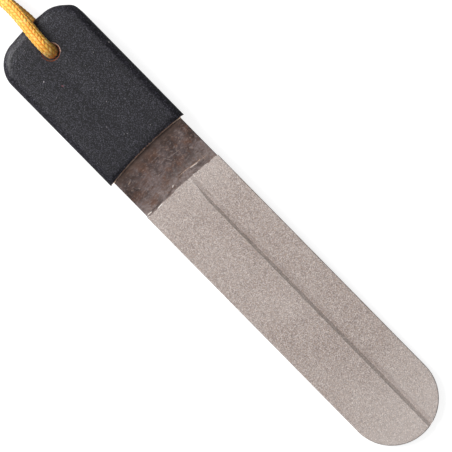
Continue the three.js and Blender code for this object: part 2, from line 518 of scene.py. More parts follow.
class Nodes:
    """A short way to add and join nodes in one tree."""

    def __init__(self, tree: Tree) -> None:
        """Starts with an existing tree."""
        self.tree = tree

    def add(self, kind: str, settings: dict | None = None, **inputs: object) -> Node:
        """Adds a node, sets its properties and fills its inputs.

        Args:
            kind: The node's type name.
            settings: Properties of the node itself.
            **inputs: A value or a socket for each input, named with _ for a space; in_0 is input 0.

        Returns:
            The new node.
        """
        node = self.tree.nodes.new(kind)
        for name, value in (settings or {}).items():
            setattr(node, name, value)
        for name, value in inputs.items():
            key = int(name[3:]) if name.startswith("in_") else name.replace("_", " ")
            self.put(node.inputs[key], value)
        return node

    def put(self, socket: Socket, value: object) -> None:
        """Links a socket to an input, or sets its default value."""
        if isinstance(value, Socket):
            self.tree.links.new(value, socket)
        else:
            socket.default_value = value

    def math(self, operation: str, *values: object, clamp: bool = False) -> Socket:
        """A Math node's result.

        Args:
            operation: What it does.
            *values: A number or a socket for each input.
            clamp: Whether the result is kept from 0 to 1.

        Returns:
            The result.
        """
        node = self.add("ShaderNodeMath", {"operation": operation, "use_clamp": clamp})
        for socket, value in zip(node.inputs, values):
            self.put(socket, value)
        return node.outputs[0]

    def mix(self, factor: object, a: object, b: object) -> Socket:
        """A mixed colour.

        Args:
            factor: How much of the second there is.
            a: The first colour.
            b: The second colour.

        Returns:
            The mixed colour.
        """
        node = self.add("ShaderNodeMix", {"data_type": "RGBA"})
        for index, value in ((0, factor), (6, a), (7, b)):
            self.put(node.inputs[index], value)
        return node.outputs[2]

    def step(
        self, value: object, low: float, high: float, to: tuple[float, float] = (0.0, 1.0)
    ) -> Socket:
        """A value taken smoothly from one range to another, and clamped.

        Args:
            value: The value.
            low: Start of its range.
            high: End of its range.
            to: The range that it is taken to.

        Returns:
            The new value.
        """
        node = self.add("ShaderNodeMapRange", {"interpolation_type": "SMOOTHSTEP", "clamp": True})
        for socket, number in zip(node.inputs, (value, low, high, *to)):
            self.put(socket, number)
        return node.outputs[0]

    def noise(self, vector: object, scale: object, detail: float = 2.0, rough: float = 0.5) -> Socket:
        """Noise from 0 to 1, with so many waves to the vector's unit."""
        node = self.add("ShaderNodeTexNoise", Vector=vector, Scale=scale, Detail=detail, Roughness=rough)
        return node.outputs["Fac"]

    def place(self, pose: ToolPose, stretch: tuple[float, float, float] = (1, 1, 1)) -> Socket:
        """Coordinates of the level tool in millimetres, stretched along its axes.

        Args:
            pose: Where the level tool is.
            stretch: Scale along each axis.

        Returns:
            The coordinates.
        """
        coordinates = self.add("ShaderNodeTexCoord").outputs["Object"]
        level = self.add(
            "ShaderNodeMapping",
            {"vector_type": "TEXTURE"},
            Vector=coordinates,
            Location=(0, 0, pose.lift),
            Rotation=(0, pose.lean, 0),
            Scale=(MM, MM, MM),
        ).outputs[0]
        if stretch == (1, 1, 1):
            return level
        return self.add("ShaderNodeMapping", Vector=level, Scale=stretch).outputs[0]

    def group(self, tree: Tree, **inputs: object) -> Node:
        """Places a node group with its own values.

        Args:
            tree: The group.
            **inputs: A value or a socket for each input, named with _ for a space.

        Returns:
            The group's node.
        """
        node = self.tree.nodes.new("ShaderNodeGroup")
        node.node_tree = tree
        for name, value in inputs.items():
            self.put(node.inputs[name.replace("_", " ")], value)
        return node


class Effect:
    """Shader effects that more than one finish uses, each built once as a node group."""

    @staticmethod
    def _start(
        name: str, inputs: dict[str, object], outputs: Sequence[str]
    ) -> tuple[Nodes, dict[str, Socket], Node]:
        """Makes an empty group with its sockets.

        Args:
            name: The group's name.
            inputs: Default value of each input; a tuple of three makes a vector.
            outputs: Names of its outputs, which are all values.

        Returns:
            The group's nodes, its input sockets by name and its output node.
        """
        tree = bpy.data.node_groups.new(name, "ShaderNodeTree")
        for socket_name, default in inputs.items():
            kind = "NodeSocketFloat" if isinstance(default, float) else "NodeSocketVector"
            socket = tree.interface.new_socket(socket_name, in_out="INPUT", socket_type=kind)
            socket.default_value = default
        for socket_name in outputs:
            tree.interface.new_socket(socket_name, in_out="OUTPUT", socket_type="NodeSocketFloat")
        source = tree.nodes.new("NodeGroupInput")
        sink = tree.nodes.new("NodeGroupOutput")
        return Nodes(tree), {s.name: s for s in source.outputs if s.name}, sink

    @classmethod
    def grit(cls) -> Tree:
        """Close-packed grains: their height, a random tone for each, and a mask of the few bright ones.

        Returns:
            The node group.
        """
        inputs = {"Vector": (0.0, 0.0, 0.0), "Scale": 3.0, "Sparkle": 0.9}
        nodes, given, sink = cls._start("Grit", inputs, ["Height", "Tone", "Bright"])
        cells = nodes.add(
            "ShaderNodeTexVoronoi", {"feature": "F1"}, Vector=given["Vector"], Scale=given["Scale"]
        )
        split = nodes.add("ShaderNodeSeparateColor", Color=cells.outputs["Color"])
        dome = nodes.step(cells.outputs["Distance"], 0.0, 0.75, (1.0, 0.0))
        lift = nodes.math("MULTIPLY_ADD", split.outputs[0], 0.6, 0.4)
        bright = nodes.math("GREATER_THAN", split.outputs[1], given["Sparkle"])
        nodes.put(sink.inputs["Height"], nodes.math("MULTIPLY", dome, lift))
        nodes.put(sink.inputs["Tone"], split.outputs[2])
        nodes.put(sink.inputs["Bright"], nodes.math("MULTIPLY", bright, dome))
        return nodes.tree

    @classmethod
    def blotches(cls) -> Tree:
        """Soft uneven patches from 0 to 1, broad ones with finer ones in them.

        Returns:
            The node group.
        """
        inputs = {"Vector": (0.0, 0.0, 0.0), "Scale": 0.2, "Contrast": 1.0}
        nodes, given, sink = cls._start("Blotches", inputs, ["Patch"])
        texture = nodes.noise(given["Vector"], given["Scale"], 4.0, 0.6)
        centred = nodes.math("SUBTRACT", texture, 0.5)
        spread = nodes.math("MULTIPLY", centred, given["Contrast"])
        nodes.put(sink.inputs["Patch"], nodes.math("ADD", spread, 0.5, clamp=True))
        return nodes.tree

    @classmethod
    def stroke(cls) -> Tree:
        """One worn stroke along the vector's X: a soft narrow ellipse, broken up by noise.

        Returns:
            The node group.
        """
        inputs = {"Vector": (0.0, 0.0, 0.0), "Half Length": 1.0, "Half Width": 0.1, "Broken": 0.5}
        nodes, given, sink = cls._start("Stroke", inputs, ["Mask"])
        split = nodes.add("ShaderNodeSeparateXYZ", Vector=given["Vector"])
        wander = nodes.noise(given["Vector"], 0.6, 1.0)
        sway = nodes.math("MULTIPLY", nodes.math("SUBTRACT", wander, 0.5), 0.5)
        across = nodes.math("DIVIDE", nodes.math("ADD", split.outputs["Y"], sway), given["Half Width"])
        along = nodes.math("DIVIDE", split.outputs["X"], given["Half Length"])
        lengthwise = nodes.math("POWER", nodes.math("ABSOLUTE", along), 4.0)
        reach = nodes.math("MULTIPLY_ADD", across, across, lengthwise)
        solid = nodes.step(reach, 0.25, 1.0, (1.0, 0.0))
        crumbs = nodes.step(nodes.noise(given["Vector"], 2.2, 2.0), 0.38, 0.6)
        gaps = nodes.math("MULTIPLY", nodes.math("SUBTRACT", 1.0, crumbs), given["Broken"])
        nodes.put(sink.inputs["Mask"], nodes.math("MULTIPLY", solid, nodes.math("SUBTRACT", 1.0, gaps)))
        return nodes.tree


@dataclass(frozen=True)
class Mark:
    """A scratch, chip or stained strip on the level tool, seen from the front.

    Attributes:
        start: Where it begins, in millimetres along and across the tool.
        end: Where it ends.
        width: Its width in millimetres.
        tone: Its colour.
        strength: How much it covers.
        broken: How much of it is rubbed away in crumbs.
    """

    start: tuple[float, float]
    end: tuple[float, float]
    width: float
    tone: Tone
    strength: float = 1.0
    broken: float = 0.5


@dataclass
class EffectKit:
    """The built effects, shared by every finish."""

    grit: Tree = field(default_factory=Effect.grit)
    blotches: Tree = field(default_factory=Effect.blotches)
    stroke: Tree = field(default_factory=Effect.stroke)


def new_material(name: str) -> tuple[Material, Nodes, Node]:
    """Makes a material with an empty tree but for its shader and output.

    Args:
        name: Name of the material.

    Returns:
        The material, its nodes and its Principled BSDF.
    """
    material = bpy.data.materials.new(name)
    material.use_nodes = True
    material.node_tree.nodes.clear()
    nodes = Nodes(material.node_tree)
    shader = nodes.add("ShaderNodeBsdfPrincipled")
    output = nodes.add("ShaderNodeOutputMaterial")
    nodes.tree.links.new(shader.outputs[0], output.inputs["Surface"])
    return material, nodes, shader


@dataclass
class Bench:
    """One material under work, with the colour that is laid on it coat by coat.

    Attributes:
        name: Name of the material.
        kit: Shared effects.
        pose: Where the level tool is.
        sizes: The tool's sizes.
    """

    name: str
    kit: EffectKit
    pose: ToolPose
    sizes: ToolSizes

    def __post_init__(self) -> None:
        """Starts the material and its own coordinates."""
        self.material, self.nodes, self.shader = new_material(self.name)
        self.place = self.nodes.place(self.pose)
        split = self.nodes.add("ShaderNodeSeparateXYZ", Vector=self.place)
        self.along, self.across, _ = split.outputs
        self.colour: object = None

    def grit(self, scale: float, sparkle: float) -> Node:
        """Grains so many a millimetre, of which the share past the sparkle is bright."""
        return self.nodes.group(self.kit.grit, Vector=self.place, Scale=scale, Sparkle=sparkle)

    def blotches(self, scale: float, contrast: float, vector: object = None) -> Socket:
        """Uneven patches, in the tool's own coordinates or in given ones."""
        vector = self.place if vector is None else vector
        return self.nodes.group(self.kit.blotches, Vector=vector, Scale=scale, Contrast=contrast).outputs[0]

    def coat(self, cover: object, tone: Tone) -> None:
        """Lays a tone over the colour, where its cover says."""
        self.colour = self.nodes.mix(cover, self.colour, tone)

    def mark(self, mark: Mark) -> None:
        """Lays a mark over the colour.

        Args:
            mark: The scratch, chip or stain.
        """
        (x0, y0), (x1, y1) = mark.start, mark.end
        local = self.nodes.add(
            "ShaderNodeMapping",
            {"vector_type": "TEXTURE"},
            Vector=self.place,
            Location=((x0 + x1) / 2, (y0 + y1) / 2, 0),
            Rotation=(0, 0, math.atan2(y1 - y0, x1 - x0)),
        )
        mask = self.nodes.group(
            self.kit.stroke,
            Vector=local.outputs[0],
            Half_Length=math.hypot(x1 - x0, y1 - y0) / 2,
            Half_Width=mark.width / 2,
            Broken=mark.broken,
        )
        self.coat(self.nodes.math("MULTIPLY", mask.outputs[0], mark.strength), mark.tone)

    def skin(
        self, roughness: object, height: object, strength: float, relief: float, **shader: object
    ) -> None:
        """Gives the shader its colour, its roughness and its bumps.

        Args:
            roughness: How matt it is.
            height: What the bumps follow, from 0 to 1.
            strength: How strongly they show.
            relief: Their height in millimetres.
            **shader: Other values of the shader, named with _ for a space.
        """
        bump = self.nodes.add("ShaderNodeBump", Strength=strength, Distance=relief * MM, Height=height)
        given = {"Base_Color": self.colour, "Roughness": roughness, "Normal": bump.outputs[0], **shader}
        for name, value in given.items():
            self.nodes.put(self.shader.inputs[name.replace("_", " ")], value)


class Finish(ABC):
    """A finish of one slot."""

    NAME = ""

    @abstractmethod
    def paint(self, bench: Bench) -> None:
        """Paints the material that is on the bench."""

    def build(self, kit: EffectKit, pose: ToolPose, sizes: ToolSizes) -> Material:
        """Builds the material.

        Args:
            kit: Shared effects.
            pose: Where the level tool is.
            sizes: The tool's sizes.

        Returns:
            The finish.
        """
        bench = Bench(self.NAME, kit, pose, sizes)
        self.paint(bench)
        return bench.material


@dataclass(frozen=True)
class PlatingFinish(Finish):
    """Nickel set with fine diamond grit: pale pinkish taupe, matt, with scattered sparkle."""

    NAME = "diamond_plating"

    warm: Tone = shade(179, 159, 146)
    cool: Tone = shade(163, 152, 150)
    dark_grain: Tone = shade(122, 110, 106)
    bright_grain: Tone = shade(232, 223, 218)
    chip: Tone = shade(252, 246, 240)
    shadow: Tone = shade(112, 98, 94)
    grain_scale: float = 3.4
    relief: float = 0.05
    tip_fade: float = 30.0
    tip_paleness: float = 0.32
    start_fade: float = 16.0
    start_paleness: float = 0.12
    painted_shade_wall: float = 0.24
    painted_highlight_wall: float = 0.16

    def marks(self) -> list[Mark]:
        """White marks along the start of the plating: bare nickel chips and a painted highlight on its edge.
        """
        return [
            Mark((-16.95, -12.4), (-16.95, -10.5), 0.55, self.chip, 1.0, 0.25),
            Mark((-16.85, -9.0), (-16.9, -7.0), 0.6, self.chip, 1.0, 0.2),
            Mark((-16.9, -2.3), (-16.9, -1.7), 0.4, self.chip, 0.8, 0.2),
            Mark((-16.75, 9.2), (-16.05, 12.4), 0.4, self.chip, 1.0, 0.4),
        ]

    def paint(self, bench: Bench) -> None:
        """Lays grains of two sizes, paler ends, and painted shade and a painted highlight on the groove's
        two walls.

        Args:
            bench: The material under work.
        """
        nodes, sizes, bright = bench.nodes, bench.sizes, self.bright_grain
        grit = bench.grit(self.grain_scale, 0.93)
        fine = bench.grit(self.grain_scale * 1.5, 0.9)
        bench.colour = nodes.mix(bench.blotches(1.7, 2.6), self.cool, self.warm)
        bench.coat(nodes.step(grit.outputs["Tone"], 0.45, 1.0, (0.0, 0.62)), self.dark_grain)
        bench.coat(nodes.step(fine.outputs["Tone"], 0.5, 1.0, (0.0, 0.6)), bright)
        bench.coat(nodes.math("MULTIPLY", grit.outputs["Bright"], 0.7), bright)
        bench.coat(nodes.step(bench.blotches(0.06, 1.8), 0.3, 1.0, (0.0, 0.14)), bright)
        for end_x, inner_x, paleness in (
            (sizes.tip_x, sizes.tip_x - self.tip_fade, self.tip_paleness),
            (sizes.plating_x, sizes.plating_x + self.start_fade, self.start_paleness),
        ):
            bench.coat(nodes.step(bench.along, inner_x, end_x, (0.0, paleness)), bright)
        # Painted shade on the groove's +Y wall and a painted highlight on its -Y wall.
        past_valley = nodes.math("SUBTRACT", bench.across, sizes.groove_offset)
        wall = sizes.groove_tip[0] / 2
        for side, cover, tone in ((1, self.painted_shade_wall, self.shadow), (-1, self.painted_highlight_wall, bright)):
            inner = nodes.step(past_valley, 0.0, side * 0.1)
            outer = nodes.step(past_valley, side * wall, side * (wall - 0.15), (0.0, cover))
            bench.coat(nodes.math("MULTIPLY", inner, outer), tone)
        for mark in self.marks():
            bench.mark(mark)
        height = nodes.math("MULTIPLY_ADD", fine.outputs["Height"], 0.5, grit.outputs["Height"])
        roughness = nodes.step(grit.outputs["Bright"], 0.0, 1.0, (0.6, 0.3))
        bench.skin(roughness, height, 0.7, self.relief, Metallic=0.25)


@dataclass(frozen=True)
class SteelFinish(Finish):
    """Bare steel, browned and handled: fine streaks across the blade, cloudy stains and a few scratches."""

    NAME = "bare_steel"

    steel: Tone = shade(111, 97, 96)
    dark: Tone = shade(56, 43, 40)
    brown: Tone = shade(104, 74, 60)
    pale: Tone = shade(156, 142, 138)
    scratch: Tone = shade(206, 180, 160)
    glint: Tone = shade(250, 240, 232)
    shadow: Tone = shade(44, 36, 36)
    mouth: Tone = shade(76, 58, 50)
    cord_reflection: Tone = shade(170, 86, 50)
    relief: float = 0.02
    mouth_shade: float = 3.6
    cord_reflection_depth: float = 4.0

    def marks(self) -> list[Mark]:
        """The long scratch beside the plating, painted shadow along the plating's start, painted glints, and
        small nicks.
        """
        return [
            # Painted shadow along the start of the plating.
            Mark((-17.7, -4.0), (-17.0, 3.8), 0.8, self.shadow, 0.25, 0.8),
            Mark((-18.1, 3.6), (-17.2, 9.6), 0.8, self.shadow, 0.45, 0.7),
            Mark((-17.3, -12.3), (-17.3, -6.0), 0.5, self.shadow, 0.6, 0.5),
            Mark((-19.5, -0.5), (-17.7, 11.3), 0.5, self.brown, 0.6, 0.5),
            Mark((-23.6, -11.2), (-21.8, -7.6), 2.2, self.brown, 0.5, 0.7),
            Mark((-20.4, -11.6), (-18.9, -5.2), 1.3, self.brown, 0.45, 0.8),
            Mark((-19.1, 0.8), (-17.7, 11.0), 0.28, self.scratch, 0.7, 0.85),
            # Painted glints.
            Mark((-18.4, 4.6), (-18.0, 7.4), 0.24, self.glint, 0.75, 0.3),
            Mark((-17.35, -12.2), (-17.3, -10.4), 0.34, self.glint, 0.95, 0.4),
            Mark((-18.3, -1.5), (-17.9, -2.2), 0.34, self.glint, 0.7, 0.2),
            Mark((-19.6, -7.2), (-19.2, -4.4), 0.22, self.pale, 0.7, 0.9),
            Mark((-26.9, -8.9), (-26.6, -10.0), 0.26, self.scratch, 0.5, 0.6),
            Mark((-25.0, 1.6), (-23.0, 2.9), 0.2, self.pale, 0.6, 0.6),
            Mark((-24.3, 2.0), (-23.6, 7.8), 0.26, self.pale, 0.5, 0.8),
            Mark((-22.6, -9.6), (-22.0, -3.2), 0.4, self.pale, 0.25, 0.9),
        ]

    def paint(self, bench: Bench) -> None:
        """Lays stains and streaks, a pale edge at the plating, painted shade at the mouth and a painted cord
        reflection.

        Args:
            bench: The material under work.
        """
        nodes, sizes = bench.nodes, bench.sizes
        streaks = bench.blotches(0.75, 2.3, nodes.place(bench.pose, (1.0, 0.45, 1.0)))
        fine = bench.blotches(2.2, 3.0, nodes.place(bench.pose, (1.0, 0.6, 1.0)))
        clouds = bench.blotches(0.2, 2.6)
        stains = bench.blotches(0.33, 2.8)
        grain = bench.grit(2.7, 0.965)
        ragged = nodes.math("MULTIPLY_ADD", streaks, 1.4, bench.along)
        near_coat = nodes.step(ragged, sizes.plating_x - 5.0, sizes.plating_x + 0.5, (0.0, 0.62))
        near_mouth = nodes.step(ragged, sizes.mouth_x, sizes.mouth_x + self.mouth_shade, (0.85, 0.0))
        bench.colour = nodes.mix(nodes.step(clouds, 0.1, 0.9), self.dark, self.steel)
        bench.coat(near_coat, self.pale)
        bench.coat(nodes.step(stains, 0.45, 0.95, (0.0, 0.8)), self.brown)
        bench.coat(nodes.step(fine, 0.5, 1.0, (0.0, 0.4)), self.pale)
        bench.coat(nodes.step(fine, 0.45, 0.0, (0.0, 0.35)), self.dark)
        bench.coat(nodes.math("MULTIPLY", grain.outputs["Bright"], 0.4), self.scratch)
        bench.coat(nodes.step(grain.outputs["Tone"], 0.5, 1.0, (0.0, 0.42)), self.brown)
        bench.coat(nodes.step(streaks, 0.4, 1.0, (0.0, 0.6)), self.dark)
        # Painted shade on the steel just past the grip's mouth.
        bench.coat(near_mouth, self.mouth)
        # Painted reflection: reddish-brown on the steel inside the grip, shown only in the lanyard hole, for
        # orange light reflected from the cord.
        bench.coat(nodes.math("LESS_THAN", bench.along, sizes.mouth_x - self.cord_reflection_depth), self.cord_reflection)
        for mark in self.marks():
            bench.mark(mark)
        roughness = nodes.step(clouds, 0.2, 0.9, (0.62, 0.45))
        bench.skin(roughness, fine, 0.5, self.relief, Metallic=0.4)


@dataclass(frozen=True)
class VinylFinish(Finish):
    """Black dipped vinyl with a fine pebbled skin and specks of dust."""

    NAME = "grip_vinyl"

    body: Tone = shade(22, 21, 28)
    light: Tone = shade(98, 96, 108)
    deep: Tone = shade(10, 10, 12)
    dust: Tone = shade(176, 170, 174)
    lint: Tone = shade(150, 92, 104)
    rim: Tone = shade(226, 184, 164)
    cord_reflection: Tone = shade(176, 92, 56)
    lip: Tone = shade(206, 160, 138)
    pebble_scale: float = 3.0
    pebble_highlight: float = 0.92
    relief: float = 0.06

    def marks(self) -> list[Mark]:
        """A thread of lint, a white speck, and a white speck on the +Y edge that is partly a painted glint.
        """
        return [
            Mark((-57.6, -4.3), (-57.0, -3.9), 0.4, self.lint, 0.6, 0.2),
            Mark((-61.8, -6.9), (-61.4, -6.9), 0.4, self.dust, 0.8, 0.1),
            # A white speck on the +Y edge, partly a painted glint.
            Mark((-57.3, 12.7), (-56.8, 12.9), 0.4, self.dust, 0.7, 0.2),
        ]

    def _mouth_lip(self, bench: Bench) -> None:
        """Colours the thin cut lip of the mouth like the primer that clings to it.

        Args:
            bench: The material under work.
        """
        nodes, sizes = bench.nodes, bench.sizes
        across = nodes.math("DIVIDE", bench.across, sizes.grip_half_width)
        inward = nodes.math("SUBTRACT", 1.0, nodes.math("MULTIPLY", across, across))
        square = nodes.math("SUBTRACT", bench.along, sizes.mouth_x)
        past = nodes.math("MULTIPLY_ADD", inward, sizes.mouth_bow, square)
        worn = nodes.step(nodes.noise(bench.across, 0.7), 0.35, 0.65, (0.0, 0.6))
        bench.coat(nodes.math("MULTIPLY", nodes.step(past, -0.19, -0.06), worn), self.lip)

    def _hole_rim(self, bench: Bench) -> None:
        """Paints the lanyard hole's rim reddish-brown as orange light reflected from the cord, and a pale
        highlight on its +Y side.

        Args:
            bench: The material under work.
        """
        nodes, inner = bench.nodes, bench.sizes.hole_radius
        along = nodes.math("SUBTRACT", bench.along, bench.sizes.hole_x)
        across_squared = nodes.math("MULTIPLY", bench.across, bench.across)
        radius = nodes.math("SQRT", nodes.math("MULTIPLY_ADD", along, along, across_squared))
        # Painted reflection: reddish-brown for orange light reflected from the cord into the hole.
        bench.coat(nodes.step(radius, inner + 0.18, inner + 0.04, (0.0, 0.95)), self.cord_reflection)
        # Painted highlight on the rim's +Y side, where the wall catches the light.
        ring_start = nodes.step(radius, inner + 0.12, inner + 0.2)
        ring_end = nodes.step(radius, inner + 0.42, inner + 0.34)
        rim_highlight = nodes.math("MULTIPLY", ring_start, ring_end)
        rim_highlight = nodes.math("MULTIPLY", rim_highlight, nodes.step(bench.across, 1.5, 2.3, (0.0, 0.9)))
        bench.coat(rim_highlight, self.rim)

    def paint(self, bench: Bench) -> None:
        """Lays painted highlights on pebbles of two sizes, dust, the mouth's lip, and the hole's painted
        cord reflection and rim highlight.

        Args:
            bench: The material under work.
        """
        nodes = bench.nodes
        pebbles = bench.grit(self.pebble_scale, 0.9)
        fine = bench.grit(self.pebble_scale * 1.7, 0.9)
        dust = bench.grit(1.5, 0.985)
        bench.colour = nodes.mix(bench.blotches(0.8, 2.4), self.deep, self.body)
        # Painted highlights on the pebbles' tops, where they catch the light.
        for grains in (pebbles, fine):
            lit = nodes.step(grains.outputs["Tone"], 0.35, 1.0)
            lit = nodes.math("MULTIPLY", lit, grains.outputs["Height"])
            bench.coat(nodes.math("MULTIPLY", lit, self.pebble_highlight), self.light)
        # Painted glints on the few bright pebbles.
        bench.coat(nodes.math("MULTIPLY", pebbles.outputs["Bright"], 0.5), self.light)
        bench.coat(nodes.step(dust.outputs["Bright"], 0.7, 1.0, (0.0, 0.5)), self.dust)
        for mark in self.marks():
            bench.mark(mark)
        self._mouth_lip(bench)
        self._hole_rim(bench)
        height = nodes.math("MULTIPLY_ADD", fine.outputs["Height"], 0.5, pebbles.outputs["Height"])
        roughness = nodes.step(bench.blotches(0.1, 1.6), 0.0, 1.0, (0.36, 0.5))
        bench.skin(roughness, height, 0.8, self.relief, Specular_IOR_Level=0.36)


@dataclass(frozen=True)
class PrimerFinish(Finish):
    """The adhesive primer under the grip: tan, a little glossy, uneven, browner in the middle."""

    NAME = "grip_primer"

    tan: Tone = shade(238, 212, 190)
    brown: Tone = shade(150, 112, 90)
    relief: float = 0.05

    def paint(self, bench: Bench) -> None:
        """Lays brown patches and grains on the tan.

        Args:
            bench: The material under work.
        """
        nodes = bench.nodes
        patches = bench.blotches(0.8, 2.5)
        grain = bench.grit(4.0, 0.95)
        bench.colour = nodes.mix(patches, self.brown, self.tan)
        bench.coat(nodes.math("MULTIPLY", grain.outputs["Tone"], 0.25), self.brown)
        from_middle = nodes.math("ABSOLUTE", bench.across)
        bench.coat(nodes.step(from_middle, 8.0, 12.0, (0.6, 0.0)), self.brown)
        bench.skin(nodes.step(patches, 0.0, 1.0, (0.5, 0.3)), patches, 0.4, self.relief)


@dataclass(frozen=True)
class CordFinish(Finish):
    """Yellow-orange polyester braid: painted highlights on bright crowns, painted shade in deep orange gaps,
    fine filaments, sealed ends.
    """

    NAME = "braided_cord"

    crown: Tone = shade(255, 201, 98)
    flank: Tone = shade(252, 179, 64)
    gap: Tone = shade(220, 122, 22)
    pale: Tone = shade(255, 226, 140)
    sealed: Tone = shade(150, 82, 20)
    relief: float = 0.03
    glow_depth: float = 0.0009

    def paint(self, bench: Bench) -> None:
        """Lays painted highlights on the crowns over painted shade in the gaps, paler picks, filaments and
        the melted ends.

        Args:
            bench: The material under work.
        """
        nodes = bench.nodes
        crown, tone, melt = (
            nodes.add("ShaderNodeAttribute", {"attribute_name": name}).outputs["Fac"]
            for name in (Lanyard.CROWN, Lanyard.TONE, Lanyard.MELT)
        )
        thread = nodes.add("ShaderNodeUVMap", {"uv_map": Lanyard.THREAD_UV}).outputs[0]
        filament = nodes.add("ShaderNodeMapping", Vector=thread, Scale=(0.35, 7.0, 1.0)).outputs[0]
        fibres = bench.blotches(1.0, 2.0, filament)
        wide = bench.blotches(140.0, 1.6, nodes.add("ShaderNodeTexCoord").outputs["Object"])
        # Painted shade in the gaps between picks and painted highlights on their crowns.
        bench.colour = nodes.mix(nodes.step(crown, 0.1, 0.6), self.gap, self.flank)
        bench.coat(nodes.step(crown, 0.45, 0.95), self.crown)
        bench.coat(nodes.math("MULTIPLY", nodes.step(tone, 0.55, 1.0), 0.5), self.pale)
        bench.coat(nodes.math("MULTIPLY", fibres, 0.22), self.flank)
        bench.coat(nodes.math("MULTIPLY", wide, 0.15), self.flank)
        bench.coat(melt, self.sealed)
        bench.skin(
            nodes.step(melt, 0.0, 1.0, (0.68, 0.3)),
            fibres,
            0.35,
            self.relief,
            Subsurface_Weight=0.35,
            Subsurface_Radius=(1.0, 0.55, 0.2),
            Subsurface_Scale=self.glow_depth,
            Sheen_Weight=0.25,
            Sheen_Roughness=0.4,
        )


# ---------------------------------------------------------------------------------------------------
# The blade


@dataclass
class Blade:
    """The steel blank and its diamond plating."""

    shapes: PaddleShapes
    pose: ToolPose
    steel_edge_round: float = 0.3
    plating_edge_round: float = 0.32
    ragged: float = 0.16
    ragged_strip: float = 0.2
    wander_waves: float = 0.35
    chip_waves: float = 2.3

    def _plating_start(self, y: float) -> float:
        """How far the plating's ragged start lies past its square start.

        Args:
            y: The place across the blade.

        Returns:
            The distance towards the tip.
        """
        sizes = self.shapes.sizes
        slant = sizes.plating_slant * max(0.0, y) / (sizes.blade_width / 2 + sizes.coat)
        wander = noise.noise(Vector((y * self.wander_waves, 3.1, 0))) * self.ragged * 1.2
        chips = max(0.0, noise.noise(Vector((y * self.chip_waves, 7.7, 0))) - 0.15) * self.ragged * 3
        return slant + wander + chips + self.ragged

    def build_steel(self, material: Material) -> Piece:
        """The blank, with its groove and its lanyard hole.

        Args:
            material: The bare steel's finish.

        Returns:
            The piece.
        """
        sizes = self.shapes.sizes
        bm = self.shapes.paddle(0.0, self.steel_edge_round)
        bm = Workshop.cut(bm, self.shapes.groove(sizes.coat))
        bm = Workshop.cut(bm, self.shapes.hole())
        obj = Workshop.piece("steel_paddle", bm, self.pose.matrix)
        Workshop.weight_normals(obj)
        return Workshop.dress(obj, material, Slot.STEEL, ["steel_blank"])

    def build_plating(self, material: Material) -> Piece:
        """The plated layer: a thin sock over the working end, with a ragged start.

        Args:
            material: The plating's finish.

        Returns:
            The piece.
        """
        sizes = self.shapes.sizes
        inside = Workshop.cut(
            self.shapes.paddle(sizes.bond_gap, self.plating_edge_round - sizes.plating),
            self.shapes.groove(sizes.plating),
        )
        bm = self.shapes.paddle(sizes.coat, self.plating_edge_round, edge_segments=4)
        bm = Workshop.cut(bm, self.shapes.groove(0.0))
        bm = Workshop.cut(bm, inside)
        before = self.shapes.beyond(
            sizes.plating_x, sizes.end_x - 5, self._plating_start, self.ragged_strip, 2 * sizes.coat_half
        )
        bm = Workshop.cut(bm, before)
        obj = Workshop.piece("diamond_coat", bm, self.pose.matrix)
        Workshop.weight_normals(obj)
        return Workshop.dress(obj, material, Slot.PLATING, ["diamond_plating"])


# ---------------------------------------------------------------------------------------------------
# The grip


